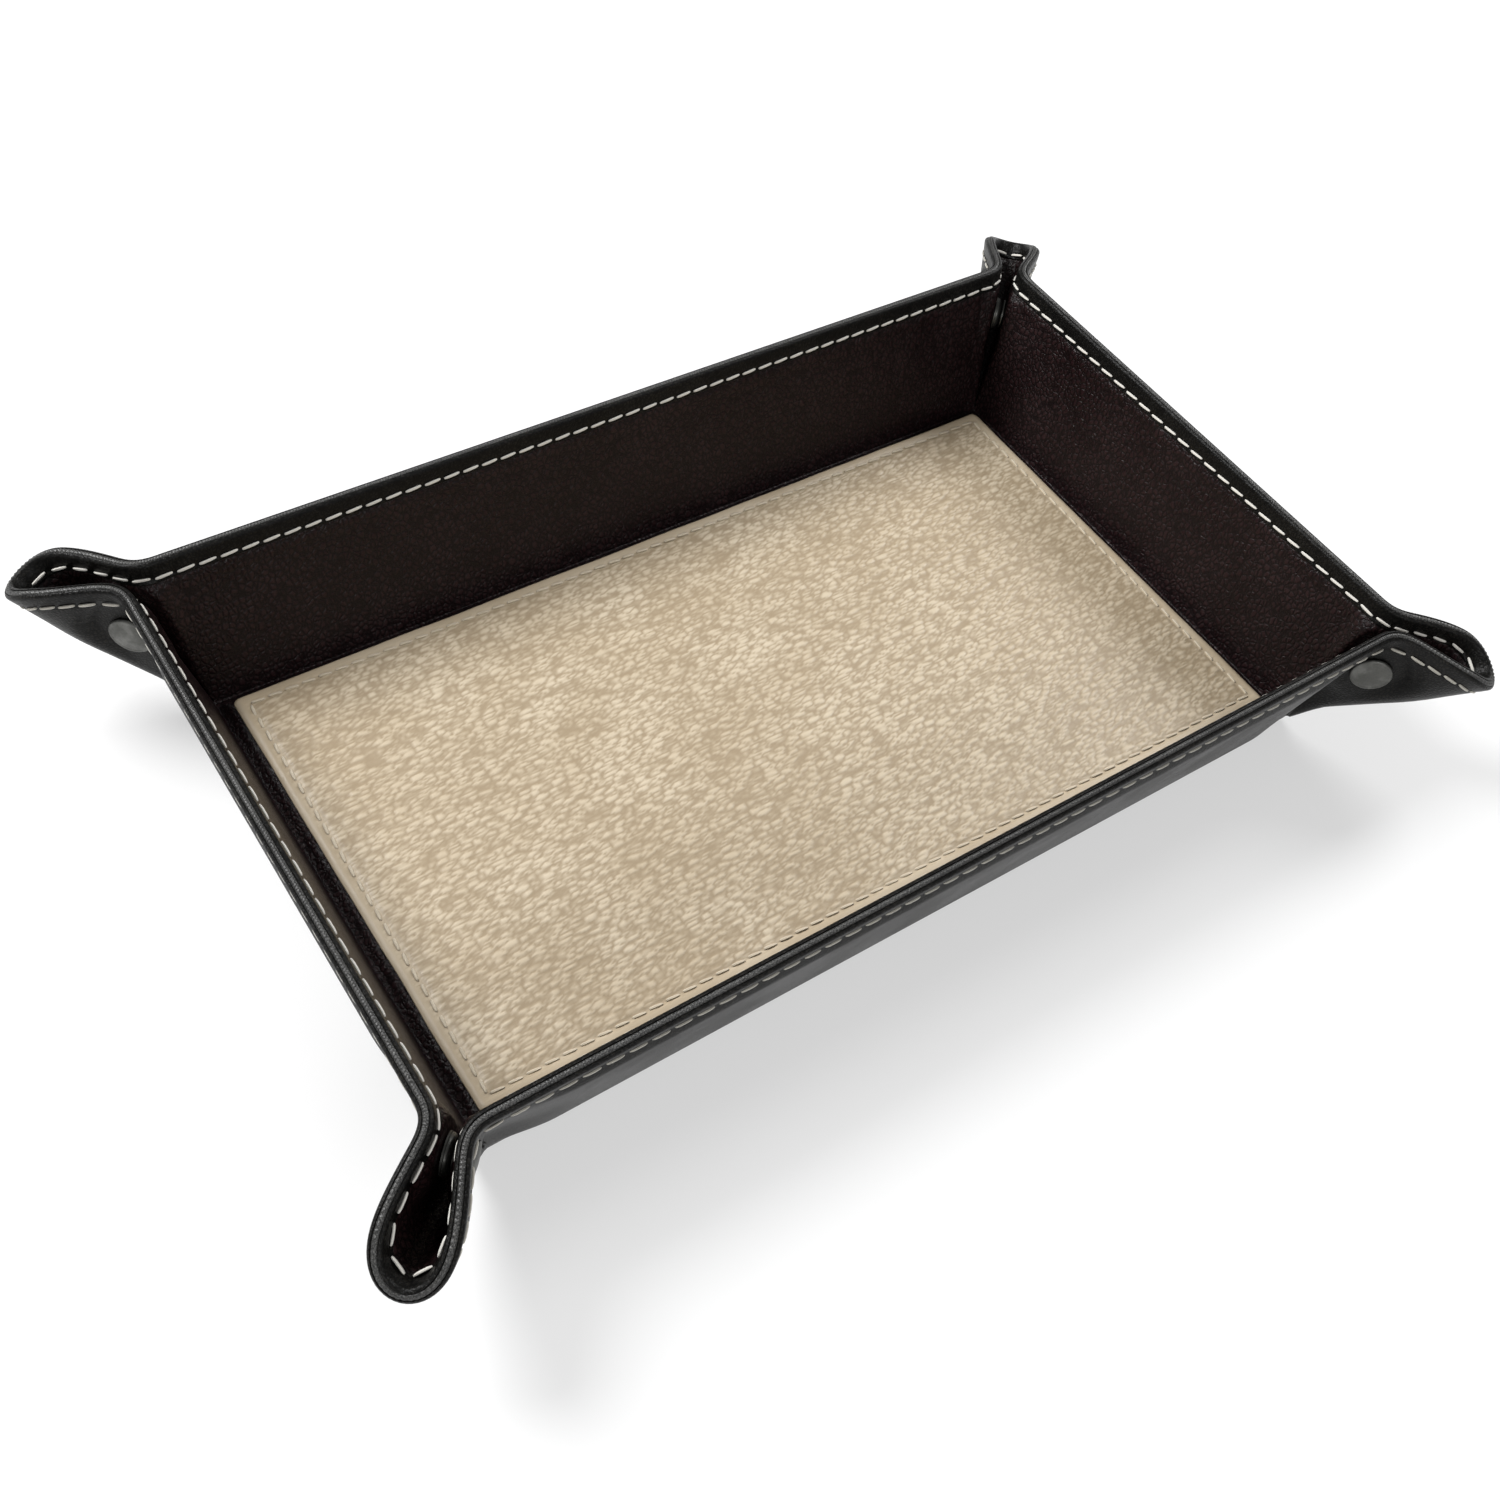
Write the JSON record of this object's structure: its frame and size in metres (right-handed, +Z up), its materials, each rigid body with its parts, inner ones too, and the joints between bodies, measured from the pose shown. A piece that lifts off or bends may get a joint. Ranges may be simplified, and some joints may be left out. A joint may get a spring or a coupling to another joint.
{
  "type": "snap-corner leather valet tray",
  "caption": "Rectangular leather valet tray with flared walls that press snaps pinch into looped ears at the corners; opened out it folds nearly flat.",
  "frame": {"origin": "centre of the tray's underside, on the surface it stands on", "axes": "+X along the long side, +Y away from the front wall, +Z up out of the tray"},
  "size_m": [0.2932, 0.1902, 0.0413],
  "materials": {
    "leather_black": "semi-gloss fine pebble",
    "lining_burgundy": "satin pebble",
    "panel_taupe": "pearly pebble grain with long wrinkles",
    "grey_board": "matt",
    "gunmetal": "dark gunmetal plate"
  },
  "bodies": {
    "base": {"base_cover": "leather_black", "base_lining": "lining_burgundy", "base_board": "grey_board", "base_panel": "panel_taupe"},
    "front_wall": {"front_wall_cover": "leather_black", "front_wall_board": "grey_board", "front_wall_lining": "lining_burgundy"},
    "front_wall_left_neck": {"front_wall_left_neck_cover": "leather_black", "front_wall_left_neck_lining": "lining_burgundy", "front_left_snap_stud": "gunmetal"},
    "front_wall_left_tip": {"front_wall_left_tip_cover": "leather_black", "front_wall_left_tip_lining": "lining_burgundy"},
    "front_wall_right_neck": {"front_wall_right_neck_cover": "leather_black", "front_wall_right_neck_lining": "lining_burgundy", "front_right_snap_cap": "gunmetal", "front_right_snap_socket": "gunmetal"},
    "front_wall_right_tip": {"front_wall_right_tip_cover": "leather_black", "front_wall_right_tip_lining": "lining_burgundy"},
    "right_wall": {"right_wall_cover": "leather_black", "right_wall_board": "grey_board", "right_wall_lining": "lining_burgundy"},
    "right_wall_front_neck": {"right_wall_front_neck_cover": "leather_black", "right_wall_front_neck_lining": "lining_burgundy", "front_right_snap_stud": "gunmetal"},
    "right_wall_front_tip": {"right_wall_front_tip_cover": "leather_black", "right_wall_front_tip_lining": "lining_burgundy"},
    "right_wall_back_neck": {"right_wall_back_neck_cover": "leather_black", "right_wall_back_neck_lining": "lining_burgundy", "back_right_snap_stud": "gunmetal"},
    "right_wall_back_tip": {"right_wall_back_tip_cover": "leather_black", "right_wall_back_tip_lining": "lining_burgundy"},
    "back_wall": {"back_wall_cover": "leather_black", "back_wall_board": "grey_board", "back_wall_lining": "lining_burgundy"},
    "back_wall_right_neck": {"back_wall_right_neck_cover": "leather_black", "back_wall_right_neck_lining": "lining_burgundy", "back_right_snap_cap": "gunmetal", "back_right_snap_socket": "gunmetal"},
    "back_wall_right_tip": {"back_wall_right_tip_cover": "leather_black", "back_wall_right_tip_lining": "lining_burgundy"},
    "back_wall_left_neck": {"back_wall_left_neck_cover": "leather_black", "back_wall_left_neck_lining": "lining_burgundy", "back_left_snap_stud": "gunmetal"},
    "back_wall_left_tip": {"back_wall_left_tip_cover": "leather_black", "back_wall_left_tip_lining": "lining_burgundy"},
    "left_wall": {"left_wall_cover": "leather_black", "left_wall_board": "grey_board", "left_wall_lining": "lining_burgundy"},
    "left_wall_back_neck": {"left_wall_back_neck_cover": "leather_black", "left_wall_back_neck_lining": "lining_burgundy", "back_left_snap_cap": "gunmetal", "back_left_snap_socket": "gunmetal"},
    "left_wall_back_tip": {"left_wall_back_tip_cover": "leather_black", "left_wall_back_tip_lining": "lining_burgundy"},
    "left_wall_front_neck": {"left_wall_front_neck_cover": "leather_black", "left_wall_front_neck_lining": "lining_burgundy", "front_left_snap_cap": "gunmetal", "front_left_snap_socket": "gunmetal"},
    "left_wall_front_tip": {"left_wall_front_tip_cover": "leather_black", "left_wall_front_tip_lining": "lining_burgundy"}
  },
  "joints": [
    {"name": "front_wall_fold", "type": "hinge", "parent": "base", "child": "front_wall", "pos_m": [0, -0.06458, 0.00056], "axis": [1, 0, 0], "range_deg": [0, 70]},
    {"name": "front_wall_left_neck_fold", "type": "hinge", "parent": "front_wall", "child": "front_wall_left_neck", "pos_m": [-0.11555, -0.06235, 0.0024], "axis": [0.1655, 0.2844, -0.9443], "range_deg": [0, 75.7]},
    {"name": "front_wall_left_tip_fold", "type": "hinge", "parent": "front_wall_left_neck", "child": "front_wall_left_tip", "pos_m": [-0.1147, -0.0632, 0.0024], "axis": [-0.2542, -0.611, 0.7497], "range_deg": [0, 121.9]},
    {"name": "front_wall_right_neck_fold", "type": "hinge", "parent": "front_wall", "child": "front_wall_right_neck", "pos_m": [0.11555, -0.06235, 0.0024], "axis": [0.1655, -0.2844, 0.9443], "range_deg": [0, 75.7]},
    {"name": "front_wall_right_tip_fold", "type": "hinge", "parent": "front_wall_right_neck", "child": "front_wall_right_tip", "pos_m": [0.1147, -0.0632, 0.0024], "axis": [-0.2542, 0.611, -0.7497], "range_deg": [0, 121.9]},
    {"name": "right_wall_fold", "type": "hinge", "parent": "base", "child": "right_wall", "pos_m": [0.11608, 0, 0.00056], "axis": [0, 1, 0], "range_deg": [0, 70]},
    {"name": "right_wall_front_neck_fold", "type": "hinge", "parent": "right_wall", "child": "right_wall_front_neck", "pos_m": [0.11385, -0.06405, 0.0024], "axis": [-0.2844, 0.1655, -0.9443], "range_deg": [0, 75.7]},
    {"name": "right_wall_front_tip_fold", "type": "hinge", "parent": "right_wall_front_neck", "child": "right_wall_front_tip", "pos_m": [0.1147, -0.0632, 0.0024], "axis": [0.611, -0.2542, 0.7497], "range_deg": [0, 121.9]},
    {"name": "right_wall_back_neck_fold", "type": "hinge", "parent": "right_wall", "child": "right_wall_back_neck", "pos_m": [0.11385, 0.06405, 0.0024], "axis": [0.2844, 0.1655, 0.9443], "range_deg": [0, 75.7]},
    {"name": "right_wall_back_tip_fold", "type": "hinge", "parent": "right_wall_back_neck", "child": "right_wall_back_tip", "pos_m": [0.1147, 0.0632, 0.0024], "axis": [-0.611, -0.2542, -0.7497], "range_deg": [0, 121.9]},
    {"name": "back_wall_fold", "type": "hinge", "parent": "base", "child": "back_wall", "pos_m": [0, 0.06458, 0.00056], "axis": [-1, 0, 0], "range_deg": [0, 70]},
    {"name": "back_wall_right_neck_fold", "type": "hinge", "parent": "back_wall", "child": "back_wall_right_neck", "pos_m": [0.11555, 0.06235, 0.0024], "axis": [-0.1655, -0.2844, -0.9443], "range_deg": [0, 75.7]},
    {"name": "back_wall_right_tip_fold", "type": "hinge", "parent": "back_wall_right_neck", "child": "back_wall_right_tip", "pos_m": [0.1147, 0.0632, 0.0024], "axis": [0.2542, 0.611, 0.7497], "range_deg": [0, 121.9]},
    {"name": "back_wall_left_neck_fold", "type": "hinge", "parent": "back_wall", "child": "back_wall_left_neck", "pos_m": [-0.11555, 0.06235, 0.0024], "axis": [-0.1655, 0.2844, 0.9443], "range_deg": [0, 75.7]},
    {"name": "back_wall_left_tip_fold", "type": "hinge", "parent": "back_wall_left_neck", "child": "back_wall_left_tip", "pos_m": [-0.1147, 0.0632, 0.0024], "axis": [0.2542, -0.611, -0.7497], "range_deg": [0, 121.9]},
    {"name": "left_wall_fold", "type": "hinge", "parent": "base", "child": "left_wall", "pos_m": [-0.11608, 0, 0.00056], "axis": [0, -1, 0], "range_deg": [0, 70]},
    {"name": "left_wall_back_neck_fold", "type": "hinge", "parent": "left_wall", "child": "left_wall_back_neck", "pos_m": [-0.11385, 0.06405, 0.0024], "axis": [0.2844, -0.1655, -0.9443], "range_deg": [0, 75.7]},
    {"name": "left_wall_back_tip_fold", "type": "hinge", "parent": "left_wall_back_neck", "child": "left_wall_back_tip", "pos_m": [-0.1147, 0.0632, 0.0024], "axis": [-0.611, 0.2542, 0.7497], "range_deg": [0, 121.9]},
    {"name": "left_wall_front_neck_fold", "type": "hinge", "parent": "left_wall", "child": "left_wall_front_neck", "pos_m": [-0.11385, -0.06405, 0.0024], "axis": [-0.2844, -0.1655, 0.9443], "range_deg": [0, 75.7]},
    {"name": "left_wall_front_tip_fold", "type": "hinge", "parent": "left_wall_front_neck", "child": "left_wall_front_tip", "pos_m": [-0.1147, -0.0632, 0.0024], "axis": [0.611, 0.2542, -0.7497], "range_deg": [0, 121.9]}
  ],
  "couplings": [
    {"joint": "front_wall_left_neck_fold", "follows": "front_wall_fold", "ratio": 1.08},
    {"joint": "front_wall_left_tip_fold", "follows": "front_wall_fold", "ratio": 1.74},
    {"joint": "front_wall_right_neck_fold", "follows": "front_wall_fold", "ratio": 1.08},
    {"joint": "front_wall_right_tip_fold", "follows": "front_wall_fold", "ratio": 1.74},
    {"joint": "right_wall_fold", "follows": "front_wall_fold", "ratio": 1},
    {"joint": "right_wall_front_neck_fold", "follows": "front_wall_fold", "ratio": 1.08},
    {"joint": "right_wall_front_tip_fold", "follows": "front_wall_fold", "ratio": 1.74},
    {"joint": "right_wall_back_neck_fold", "follows": "front_wall_fold", "ratio": 1.08},
    {"joint": "right_wall_back_tip_fold", "follows": "front_wall_fold", "ratio": 1.74},
    {"joint": "back_wall_fold", "follows": "front_wall_fold", "ratio": 1},
    {"joint": "back_wall_right_neck_fold", "follows": "front_wall_fold", "ratio": 1.08},
    {"joint": "back_wall_right_tip_fold", "follows": "front_wall_fold", "ratio": 1.74},
    {"joint": "back_wall_left_neck_fold", "follows": "front_wall_fold", "ratio": 1.08},
    {"joint": "back_wall_left_tip_fold", "follows": "front_wall_fold", "ratio": 1.74},
    {"joint": "left_wall_fold", "follows": "front_wall_fold", "ratio": 1},
    {"joint": "left_wall_back_neck_fold", "follows": "front_wall_fold", "ratio": 1.08},
    {"joint": "left_wall_back_tip_fold", "follows": "front_wall_fold", "ratio": 1.74},
    {"joint": "left_wall_front_neck_fold", "follows": "front_wall_fold", "ratio": 1.08},
    {"joint": "left_wall_front_tip_fold", "follows": "front_wall_fold", "ratio": 1.74}
  ]
}
